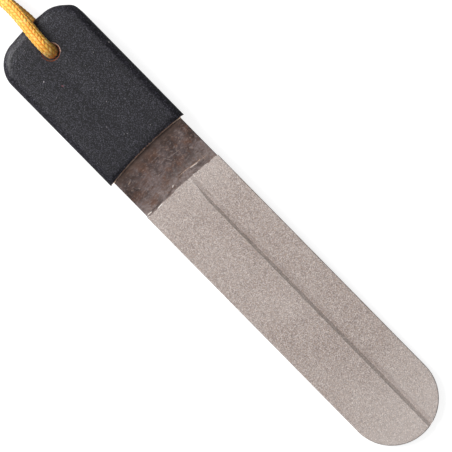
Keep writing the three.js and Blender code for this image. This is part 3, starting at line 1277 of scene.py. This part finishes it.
@dataclass
class Grip:
    """The vinyl sleeve, and the primer that shows at its mouth."""

    shapes: PaddleShapes
    pose: ToolPose
    corner_segments: int = 24
    edge_segments: int = 8
    past_mouth: float = 0.5
    mouth_strip: float = 0.4
    mouth_wander: float = 0.2
    mouth_waves: float = 0.5
    droop_start: float = 5.5
    droop: float = 0.5
    droop_strip: float = 0.6
    droop_flat: float = 6.0
    droop_flare: float = 0.35
    sharp_angle: float = math.radians(40)
    mouth_width: float = 3.2
    mouth_thinning: float = 0.45
    side_width: float = 3.4
    side_droop: float = 0.5
    bulge_place: tuple[float, float] = (-70.4, 13.1)
    bulge_reach: float = 1.9
    bulge: float = 0.42
    bulge_way: tuple[float, float] = (-0.6, 0.8)

    def _mouth(self, y: float) -> float:
        """How far the bowed mouth lies past its ends.

        Args:
            y: The place across the grip.

        Returns:
            The distance towards the tip.
        """
        sizes = self.shapes.sizes
        wander = noise.noise(Vector((y * self.mouth_waves, 5.3, 0))) * self.mouth_wander
        bow = sizes.mouth_bow * (1 - min(1.0, abs(y) / sizes.grip_half_width) ** 2)
        return wander - bow

    def _outside(self) -> Shape:
        """The sleeve's outer shape as a solid: round corners, a crowned end and rounded long edges.

        Returns:
            A closed solid that ends a little past the mouth.
        """
        s = self.shapes.sizes
        half = s.grip_half_width
        flat = half - s.grip_corner
        end_x = s.end_x + s.grip_end_crown
        bm = block((end_x, -half, -s.grip_half), (s.mouth_x + self.past_mouth, half, s.grip_half))
        slice_across(bm, [flat * i / 4 for i in range(-3, 4)], axis=1)
        corners = [edge for edge in bm.edges if self._is_end_corner(edge)]
        round_off(bm, corners, s.grip_corner, self.corner_segments)
        for vert in bm.verts:
            if vert.co.x < end_x + 0.05:
                vert.co.x -= s.grip_end_crown * (1 - min(1.0, abs(vert.co.y) / flat) ** 2)
        bm.normal_update()
        round_off(bm, rim_edges(bm), s.grip_edge_round, self.edge_segments)
        return bm

    def _is_end_corner(self, edge: bmesh.types.BMEdge) -> bool:
        """Whether an edge is one of the two upright corners of the closed end.

        Args:
            edge: An edge of the block.

        Returns:
            True for a corner.
        """
        s = self.shapes.sizes
        a, b = edge.verts
        at_end = max(a.co.x, b.co.x) < s.mouth_x and min(abs(a.co.y), abs(b.co.y)) > s.blade_width / 2
        return at_end and abs(a.co.z - b.co.z) > s.grip_half

    def _soften(self, bm: Shape) -> None:
        """Lets the end, the sides and the mouth run thinner, and swells one corner, as dipping leaves them.

        Args:
            bm: The sleeve's outer shape. It is changed in place.
        """
        s = self.shapes.sizes
        bulge_x, bulge_y = self.bulge_place
        side_start = s.grip_half_width - self.side_width
        end_places = [s.end_x + self.droop_strip * i for i in range(1, 10)]
        mouth_places = [s.mouth_x - self.mouth_width + self.droop_strip * i for i in range(6)]
        slice_across(bm, end_places + mouth_places, axis=0)
        side_places = [side_start + self.droop_strip * i for i in range(4)]
        slice_across(bm, side_places + [-place for place in side_places], axis=1)
        for vert in bm.verts:
            x, y, z = vert.co
            sideways = max(0.0, abs(y) - self.droop_flat) * self.droop_flare
            inward = max(0.0, min(1.0, (s.end_x + self.droop_start + sideways - x) / self.droop_start))
            outward = max(0.0, (abs(y) - side_start) / self.side_width)
            mouthward = max(0.0, (x - s.mouth_x + self.mouth_width) / self.mouth_width)
            drop = self.droop * inward**2 + self.side_droop * outward**2 + self.mouth_thinning * mouthward**2
            vert.co.z = z * (1 - drop / s.grip_half)
            near = math.exp(-((x - bulge_x) ** 2 + (y - bulge_y) ** 2) / self.bulge_reach**2)
            vert.co.x += self.bulge * near * self.bulge_way[0]
            vert.co.y += self.bulge * near * self.bulge_way[1]

    def build_sleeve(self, material: Material) -> Piece:
        """The vinyl sleeve with its pocket, its bowed mouth and the flared lanyard hole.

        Args:
            material: The vinyl's finish.

        Returns:
            The piece.
        """
        s = self.shapes.sizes
        outside = self._outside()
        self._soften(outside)
        bmesh.ops.triangulate(outside, faces=outside.faces[:])
        bm = Workshop.cut(outside, self.shapes.paddle(s.sleeve_gap))
        before = self.shapes.beyond(
            s.mouth_x, s.tip_x + 5, self._mouth, self.mouth_strip, 2 * s.grip_half
        )
        bm = Workshop.cut(bm, before)
        bm = Workshop.cut(bm, self.shapes.hole())
        obj = Workshop.piece("vinyl_sleeve", bm, self.pose.matrix, self.sharp_angle)
        return Workshop.dress(obj, material, Slot.VINYL, ["grip_sleeve"])

    def dress_primer(self, material: Material) -> None:
        """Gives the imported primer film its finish.

        Args:
            material: The primer's finish.
        """
        film = bpy.data.objects["grip_primer"]
        film.data.materials.clear()
        film.data.materials.append(material)
        log.info("node grip_primer dressed")


# ---------------------------------------------------------------------------------------------------
# The lanyard


def distances(points: np.ndarray) -> np.ndarray:
    """How far each point is from the first, along the line through them."""
    return np.r_[0, np.cumsum(np.linalg.norm(np.diff(points, axis=0), axis=1))]


def read(places: np.ndarray, along: np.ndarray, points: np.ndarray) -> np.ndarray:
    """Points at given places on a line whose own points lie at known ones."""
    return np.column_stack([np.interp(places, along, points[:, axis]) for axis in range(3)])


def unit(vectors: np.ndarray) -> np.ndarray:
    """Vectors of length one."""
    return vectors / np.linalg.norm(vectors, axis=1)[:, None]


def resample(points: np.ndarray, step: float) -> np.ndarray:
    """Points a step apart along a smooth curve through the given ones.

    Args:
        points: Points of the route, N by 3.
        step: Wanted spacing, in the points' own unit.

    Returns:
        Evenly spaced points, ends included.
    """
    padded = np.vstack([2 * points[0] - points[1], points, 2 * points[-1] - points[-2]])
    fine = []
    for a, b, c, d in zip(padded, padded[1:], padded[2:], padded[3:]):
        t = np.linspace(0, 1, 24, endpoint=False)[:, None]
        fine.append(
            0.5 * (2 * b + (c - a) * t + (2 * a - 5 * b + 4 * c - d) * t**2 + (3 * b - a - 3 * c + d) * t**3)
        )
    dense = np.vstack([*fine, points[-1:]])
    along = distances(dense)
    places = np.linspace(0, along[-1], max(2, round(along[-1] / step) + 1))
    return read(places, along, dense)


def length_of(points: np.ndarray) -> float:
    """Length of a line through points."""
    return float(np.linalg.norm(np.diff(points, axis=0), axis=1).sum())


def crossfade(first: np.ndarray, second: np.ndarray, start: float, end: float) -> np.ndarray:
    """Leads one line smoothly into another that runs beside it towards -X.

    Args:
        first: The line that is followed before the start.
        second: The line that is followed after the end.
        start: Where along X the change begins.
        end: Where along X it is complete.

    Returns:
        One line made of both.
    """
    turn = int(np.flatnonzero(first[:, 0] > start)[-1])
    passed = int(np.argmax(second[:, 0] < end))
    shared = second[:passed]
    shared = shared[shared[:, 0] <= start]
    rest = first[turn:]
    on_first = read(-shared[:, 0], -rest[:, 0], rest)
    weight = np.clip((start - shared[:, 0]) / (start - end), 0, 1)[:, None]
    weight = weight * weight * (3 - 2 * weight)
    return np.vstack([first[: turn + 1], on_first * (1 - weight) + shared * weight, second[passed:]])


@dataclass
class DoubledOverhand:
    """An overhand knot tied with two cords at once and drawn tight, along X about the origin.

    It starts as a loose overhand curve, given by a formula, with the two cords side by side. Their ends are
    drawn to fixed places while both cords get shorter, and they keep a cord's thickness apart. All in
    millimetres.
    """

    diameter: float
    reach: float = 16.0
    beads: int = 90
    steps: int = 420
    loose_steps: int = 30
    passes: int = 14
    shrink: float = 0.004
    tension: float = 1.06
    tightest_bend: float = 0.8
    bend_span: float = 2.2
    middle_beads: int = 12
    loose_size: tuple[float, float, float] = (5.2, 3.6, 0.62)
    loose_offset: float = 0.53
    tight_offset: float = 0.515
    touching: float = 1.7

    def _loose(self, side: float) -> np.ndarray:
        """One cord of the loose knot, offset to one side of the overhand curve.

        Args:
            side: One for the first cord and minus one for the second.

        Returns:
            The cord's beads, from one end to the other.
        """
        t = np.linspace(-2.3, 2.3, 1500)
        long, wide, high = self.loose_size
        curve = np.column_stack([long * (t**3 - 3 * t), wide * (t**4 - 4 * t**2), high * (t**5 - 10 * t)])
        tangent = np.gradient(curve, axis=0)
        beside = unit(np.cross(tangent, (0.0, 0.0, 1.0)))
        curve = curve + beside * side * self.loose_offset * self.diameter
        along = distances(curve)
        return read(np.linspace(0, along[-1], self.beads), along, curve)

    def tighten(self) -> tuple[np.ndarray, np.ndarray]:
        """Draws the knot tight.

        Returns:
            The centrelines of the two cords, both from -X to +X.
        """
        n, total = self.beads, 2 * self.beads
        points = np.vstack([self._loose(1.0), self._loose(-1.0)])
        first = np.r_[np.arange(n - 1), n + np.arange(n - 1)]
        loose = np.linalg.norm(points[first + 1] - points[first], axis=1)
        parts = (slice(0, n - 1), slice(n - 1, total - 2))
        rest = np.r_[np.full(n - 1, loose[parts[0]].mean()), np.full(n - 1, loose[parts[1]].mean())]
        low, high = np.nonzero(np.triu(np.ones((total, total), bool), 1))
        apart = np.where((low < n) == (high < n), high - low, total)
        ends = np.array([0, n - 1, n, total - 1])
        beside = self.tight_offset * self.diameter
        goals = np.array([(x, y, 0.0) for y in (-beside, beside) for x in (-self.reach, self.reach)])
        centre = np.r_[n // 2 - self.middle_beads : n // 2 + self.middle_beads]
        centre = np.r_[centre, centre + n]
        for turn in range(self.steps):
            drift = points[centre].mean(axis=0) * (0, 1, 1)
            points[ends] += (goals + drift - points[ends]) * (0.08 if turn < 2 * self.loose_steps else 0.5)
            held = points[ends].copy()
            if turn >= self.loose_steps:
                stretch = np.linalg.norm(points[first + 1] - points[first], axis=1) / rest
                for part in parts:
                    if stretch[part].mean() < self.tension:
                        rest[part] *= 1 - self.shrink
            spacing = rest.mean()
            far = apart * spacing >= self.touching * self.diameter
            span = max(2, round(self.bend_span / spacing))
            radius = self.tightest_bend * self.diameter
            chord = 2 * radius * math.sin(min(1.5, span * spacing / (2 * radius)))
            hinge = np.r_[np.arange(n - span), n + np.arange(n - span)]
            for _ in range(self.passes):
                self._keep_lengths(points, rest, n)
                self._push(points, hinge, hinge + span, chord, 0.2, share=False)
                self._push(points, low[far], high[far], self.diameter, 0.5, share=True)
                points[ends] = held
        return points[:n], points[n:]

    @staticmethod
    def _keep_lengths(points: np.ndarray, rest: np.ndarray, n: int) -> None:
        """Draws neighbours to their own spacing, the even pairs and then the odd ones."""
        for parity in (0, 1):
            for offset, shift in ((0, 0), (n, -1)):
                a = offset + np.arange(parity, n - 1, 2)
                gap = points[a + 1] - points[a]
                size = np.linalg.norm(gap, axis=1)[:, None]
                move = gap * ((size - rest[a + shift][:, None]) / size * 0.5)
                points[a] += move
                points[a + 1] -= move

    @staticmethod
    def _push(
        points: np.ndarray, a: np.ndarray, b: np.ndarray, least: float, strength: float, share: bool
    ) -> None:
        """Pushes apart the pairs that are closer than they may be.

        Args:
            points: All points, changed in place.
            a: First of each pair.
            b: Second of each pair.
            least: The least distance.
            strength: How much of the fault is mended at once.
            share: Whether a point in several pairs takes the mean of their pushes.
        """
        gap = points[a] - points[b]
        squared = (gap * gap).sum(axis=1)
        hit = squared < least * least
        a, b, gap = a[hit], b[hit], gap[hit]
        size = np.sqrt(squared[hit])[:, None]
        move = gap / size * ((least - size) * strength)
        total = len(points)
        weight = np.ones(total)
        if share:
            weight = 1.6 / np.maximum(np.bincount(a, minlength=total) + np.bincount(b, minlength=total), 1)
        for axis in range(3):
            moved = np.bincount(a, move[:, axis], total) - np.bincount(b, move[:, axis], total)
            points[:, axis] += moved * weight


@dataclass
class Lanyard:
    """One braided cord through the hole: two legs, tied together in an overhand knot with sealed ends.

    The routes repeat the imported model's, in metres. Each leg starts in the middle of the hole.
    """

    CROWN = "crown"
    TONE = "tone"
    MELT = "melt"
    THREAD_UV = "thread"

    diameter: float = 0.0032
    carriers: int = 10
    pick_length: float = 0.00118
    pick_slant: float = 0.6
    relief: float = 0.00017
    crown_lift: float = 1.2
    crown_round: tuple[float, float] = (2.6, 0.7)
    along_step: float = 0.0002
    sides_per_carrier: int = 8
    front_route: tuple = (
        (-0.0655, 0.0001, 0.00575), (-0.0655, 0.0001, 0.00625), (-0.06575, 0.00005, 0.00765),
        (-0.0665, 0.0, 0.00885), (-0.0677, -0.0001, 0.00965), (-0.0693, -0.0001, 0.00995),
        (-0.072, 0.0001, 0.00997), (-0.075, 0.00042, 0.00995), (-0.078, 0.00072, 0.00945),
        (-0.0815, 0.00085, 0.00835), (-0.085, 0.0006, 0.00695), (-0.089, 0.0, 0.0053),
        (-0.093, -0.00115, 0.00375), (-0.097, -0.00275, 0.0025), (-0.1015, -0.0046, 0.0018),
        (-0.107, -0.0065, 0.00162), (-0.114, -0.0081, 0.00162), (-0.1215, -0.0083, 0.00162),
        (-0.128, -0.0069, 0.00175), (-0.1335, -0.0047, 0.0023), (-0.1385, -0.0026, 0.0032),
        (-0.143, -0.00175, 0.00395),
    )
    back_route: tuple = (
        (-0.0655, 0.0001, 0.00545), (-0.0655, 0.0001, 0.00495), (-0.06575, 0.00015, 0.00365),
        (-0.0665, 0.0003, 0.0025), (-0.0677, 0.00055, 0.0018), (-0.0693, 0.00085, 0.00162),
        (-0.072, 0.00135, 0.00162), (-0.075, 0.00165, 0.00162), (-0.079, 0.0014, 0.00162),
        (-0.083, 0.0009, 0.00162), (-0.087, 0.00095, 0.00162), (-0.091, 0.00175, 0.00162),
        (-0.0955, 0.00325, 0.00162), (-0.1005, 0.0052, 0.00162), (-0.1065, 0.0072, 0.00162),
        (-0.1135, 0.0086, 0.00162), (-0.121, 0.0086, 0.00162), (-0.1275, 0.0071, 0.00175),
        (-0.133, 0.0048, 0.0023), (-0.1383, 0.00265, 0.0032), (-0.143, 0.00175, 0.00395),
    )
    front_tail: tuple = (
        (-0.1562, -0.0021, 0.0038), (-0.159, -0.0027, 0.0031), (-0.1625, -0.0037, 0.00205),
        (-0.167, -0.0052, 0.00162),
    )
    back_tail: tuple = (
        (-0.1562, 0.0019, 0.0036), (-0.159, 0.0024, 0.0028), (-0.162, 0.0031, 0.0019),
        (-0.1655, 0.0044, 0.00162),
    )
    knot_x: float = -0.1496
    knot_reach: float = 2.2
    knot_fade: tuple = (-0.1345, -0.1422)
    tail_fade: tuple = (-0.1568, -0.163)
    melt_length: float = 0.0012
    cap_length: float = 0.0009
    flattening: float = 0.1
    flat_until: float = 0.045
    flat_fade: float = 0.02

    def _paths(self) -> list[np.ndarray]:
        """Centrelines of the front and the back leg from the hole to their cut ends, in metres.

        Returns:
            The front leg's line and the back leg's line.
        """
        tied = np.stack(DoubledOverhand(self.diameter / MM).tighten()) * MM
        tied[..., :2] *= -1
        tied[..., 0] += self.knot_x
        body = tied[np.abs(tied[..., 0] - self.knot_x) < self.knot_reach * self.diameter]
        tied[..., 1] -= (body[:, 1].min() + body[:, 1].max()) / 2
        tied[..., 2] += self.diameter / 2 - body[:, 2].min()
        back_tied, front_tied = tied
        paths = []
        for route, knot, tail in (
            (self.front_route, front_tied, self.front_tail),
            (self.back_route, back_tied, self.back_tail),
        ):
            line = crossfade(resample(np.array(route), MM), resample(knot, MM / 2), *self.knot_fade)
            line = crossfade(line, resample(np.array(tail), MM / 2), *self.tail_fade)
            for _ in range(4):
                line[1:-1] += ((line[:-2] + line[2:]) / 2 - line[1:-1]) * 0.5
            paths.append(resample(line, self.along_step))
        return paths

    def _braid(self, along: np.ndarray, around: np.ndarray) -> tuple[np.ndarray, np.ndarray]:
        """The braid's relief at places on the cord.

        Args:
            along: Distance along the cord, in metres.
            around: Turn round the cord, from 0 to 1.

        Returns:
            The height of the yarn, 0 in a gap to 1 on a crown, and a random tone for each pick.
        """
        column = around * self.carriers
        index = np.floor(column)
        across = column - index - 0.5
        odd = np.where(index % 2 == 0, 1.0, -1.0)
        phase = along / self.pick_length + odd * self.pick_slant * across + 0.5 * (index % 2)
        pick = np.floor(phase)
        lengthwise = phase - pick - 0.5
        rounded = np.sqrt(np.clip(1 - (2 * across) ** 2, 0, 1))
        flatness, fullness = self.crown_round
        yarn = rounded * np.clip(1 - np.abs(2 * lengthwise) ** flatness, 0, 1) ** fullness
        tone = np.mod(np.sin(index * 12.9898 + pick * 78.233) * 43758.5453, 1.0)
        return yarn, tone

    def _tube(self, name: str, path: np.ndarray) -> Piece:
        """A braided tube round a path, closed at both ends, with a melted bead on its far end.

        Args:
            name: Name of the piece.
            path: The centreline, in metres.

        Returns:
            The object.
        """
        rings = len(path)
        sides = self.carriers * self.sides_per_carrier
        tangent = unit(np.gradient(path, axis=0))
        normal = np.empty_like(path)
        normal[0] = np.cross(tangent[0], (0, 1, 0))
        for i in range(1, rings):
            flat = normal[i - 1] - tangent[i] * np.dot(normal[i - 1], tangent[i])
            normal[i] = flat / np.linalg.norm(flat)
        side = np.cross(tangent, normal)
        along = distances(path)
        to_end = along[-1] - along
        bm = bmesh.new()
        bmesh.ops.create_grid(bm, x_segments=rings - 1, y_segments=sides, size=0.5, calc_uvs=False)
        crown = bm.verts.layers.float.new(self.CROWN)
        tone = bm.verts.layers.float.new(self.TONE)
        melt = bm.verts.layers.float.new(self.MELT)
        uv = bm.loops.layers.uv.new(self.THREAD_UV)
        grid = np.array([(v.co.x + 0.5, v.co.y + 0.5) for v in bm.verts])
        ring = np.rint(grid[:, 0] * (rings - 1)).astype(int)
        turn = grid[:, 1]
        yarn, tones = self._braid(along[ring], np.mod(turn + 1e-6, 1.0))
        sealed = np.clip(1 - to_end / self.melt_length, 0, 1)[ring]
        radius = self.diameter / 2 - self.relief + self.relief * self.crown_lift * yarn * (1 - sealed)
        cap = np.clip(to_end / self.cap_length, 0, 1)[ring]
        radius = radius * np.sqrt(np.clip(1 - (1 - cap) ** 2, 0, 1))
        radius = np.where(ring == 0, 0.0, radius)
        angle = 2 * math.pi * turn
        flat = self.flattening * np.clip((self.flat_until - along[ring]) / self.flat_fade, 0, 1)
        tall = radius * np.cos(angle) * (1 - flat / 2)
        wide = radius * np.sin(angle) * (1 + flat)
        where = path[ring] + normal[ring] * tall[:, None] + side[ring] * wide[:, None]
        for i, vert in enumerate(bm.verts):
            vert.co = where[i]
            vert[crown] = float(yarn[i])
            vert[tone] = float(tones[i])
            vert[melt] = float(sealed[i])
        for face in bm.faces:
            for loop in face.loops:
                i = loop.vert.index
                loop[uv].uv = (along[ring[i]] / MM, turn[i] * self.carriers)
        bmesh.ops.remove_doubles(bm, verts=bm.verts, dist=1e-7)
        bmesh.ops.recalc_face_normals(bm, faces=bm.faces)
        return Workshop.piece(name, bm, Matrix.Identity(4), math.pi)

    def build(self, material: Material) -> None:
        """Args:
            material: The braid's finish.
        """
        front, back = self._paths()
        jobs = (
            ("lanyard_front_leg", front, ["lanyard_front_strand", "lanyard_knot", "lanyard_front_tail"]),
            ("lanyard_back_leg", back, ["lanyard_back_strand", "lanyard_back_tail"]),
        )
        for name, path, nodes in jobs:
            leg = Workshop.dress(self._tube(name, path), material, Slot.CORD, nodes)
            log.info("cord %s: %.1f mm long", name, length_of(path) / MM)


# ---------------------------------------------------------------------------------------------------
# The studio


@dataclass
class Studio:
    """A pale floor, softboxes on the grip's side and above, and a camera straight above the tool.

    The floor glows for the camera, except in a capsule round the tool where its contact shade falls.
    Each light is its name, place and side in metres, and power in watts.
    """

    aim: tuple[float, float, float] = (-0.00076, 0.00078, 0.004)
    turn: float = math.radians(45.458)
    field_width: float = 0.1194
    lens: float = 400.0
    sensor: float = 36.0
    ambient: float = 0.1
    glow: float = 0.86
    floor_radius: float = 4.0
    floor_tones: tuple[Tone, Tone] = (shade(150, 150, 150), shade(146, 146, 147))
    shade_half_length: float = 0.062
    shade_radius: tuple[float, float] = (0.0102, 0.0122)
    lights: tuple = (
        ("key", (-0.9, -0.55, 0.95), 0.7, 22),
        ("rim", (-1.2, -0.3, 0.34), 0.5, 6),
        ("top", (-0.1, -0.1, 1.8), 1.2, 6),
    )

    def camera(self) -> None:
        """Makes the camera and makes it the scene's own."""
        data = bpy.data.cameras.new("camera")
        data.lens = self.lens
        data.sensor_width = self.sensor
        data.clip_end = 20
        obj = bpy.data.objects.new("camera", data)
        distance = self.field_width * self.lens / self.sensor
        obj.location = (self.aim[0], self.aim[1], self.aim[2] + distance)
        obj.rotation_euler = (0, 0, self.turn)
        bpy.context.scene.collection.objects.link(obj)
        bpy.context.scene.camera = obj

    def floor(self) -> None:
        """Makes the floor and marks it as stage."""
        bm = bmesh.new()
        bmesh.ops.create_circle(bm, cap_ends=True, segments=64, radius=self.floor_radius)
        floor = Workshop.piece("floor", bm, Matrix.Identity(4))
        material, nodes, shader = new_material("floor")
        place = nodes.add("ShaderNodeTexCoord").outputs["Object"]
        soft = nodes.noise(place, 3.0)
        nodes.put(shader.inputs["Base Color"], nodes.mix(soft, *self.floor_tones))
        shader.inputs["Roughness"].default_value = 0.9
        split = nodes.add("ShaderNodeSeparateXYZ", Vector=place)
        along = nodes.math("SUBTRACT", nodes.math("ABSOLUTE", split.outputs[0]), self.shade_half_length)
        along = nodes.math("MAXIMUM", along, 0.0)
        across = nodes.math("MULTIPLY", split.outputs[1], split.outputs[1])
        away = nodes.math("SQRT", nodes.math("MULTIPLY_ADD", along, along, across))
        around = nodes.step(away, *self.shade_radius)
        seen = nodes.add("ShaderNodeLightPath").outputs["Is Camera Ray"]
        glow = nodes.math("MULTIPLY", nodes.math("MULTIPLY", around, seen), self.glow)
        shader.inputs["Emission Color"].default_value = WHITE
        nodes.put(shader.inputs["Emission Strength"], glow)
        floor.data.materials.append(material)

    def light(self, name: str, place: tuple[float, float, float], size: float, power: float) -> None:
        """Adds a square softbox that faces the tool.

        Args:
            name: Name of the light.
            place: Where it stands, in metres.
            size: Length of its side, in metres.
            power: Its power, in watts.
        """
        data = bpy.data.lights.new(name, "AREA")
        data.shape = "SQUARE"
        data.size = size
        data.energy = power
        obj = bpy.data.objects.new(name, data)
        obj.location = place
        obj.rotation_euler = (-Vector(place)).to_track_quat("-Z", "Y").to_euler()
        bpy.context.scene.collection.objects.link(obj)

    def build(self) -> None:
        """Sets up the camera, the floor, the lights and the surroundings."""
        self.camera()
        self.floor()
        for softbox in self.lights:
            self.light(*softbox)
        world = bpy.data.worlds.new("studio")
        world.use_nodes = True
        nodes = Nodes(world.node_tree)
        background = world.node_tree.nodes["Background"]
        background.inputs["Color"].default_value = WHITE
        seen = nodes.add("ShaderNodeLightPath").outputs["Is Camera Ray"]
        nodes.put(background.inputs["Strength"], nodes.step(seen, 0.0, 1.0, (self.ambient, 1.0)))
        bpy.context.scene.world = world
        bpy.context.scene.view_settings.view_transform = "Standard"


def main() -> None:
    """Builds the studio and every piece."""
    logging.basicConfig(level=logging.INFO, format="%(name)s: %(message)s")
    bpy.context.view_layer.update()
    Studio().build()
    sizes = ToolSizes()
    shapes = PaddleShapes(sizes)
    pose = ToolPose.from_record(sizes.coat_half)
    shared = (EffectKit(), pose, sizes)
    Lanyard().build(CordFinish().build(*shared))
    blade = Blade(shapes, pose)
    blade.build_steel(SteelFinish().build(*shared))
    blade.build_plating(PlatingFinish().build(*shared))
    grip = Grip(shapes, pose)
    grip.build_sleeve(VinylFinish().build(*shared))
    grip.dress_primer(PrimerFinish().build(*shared))


if __name__ == "__main__":
    main()
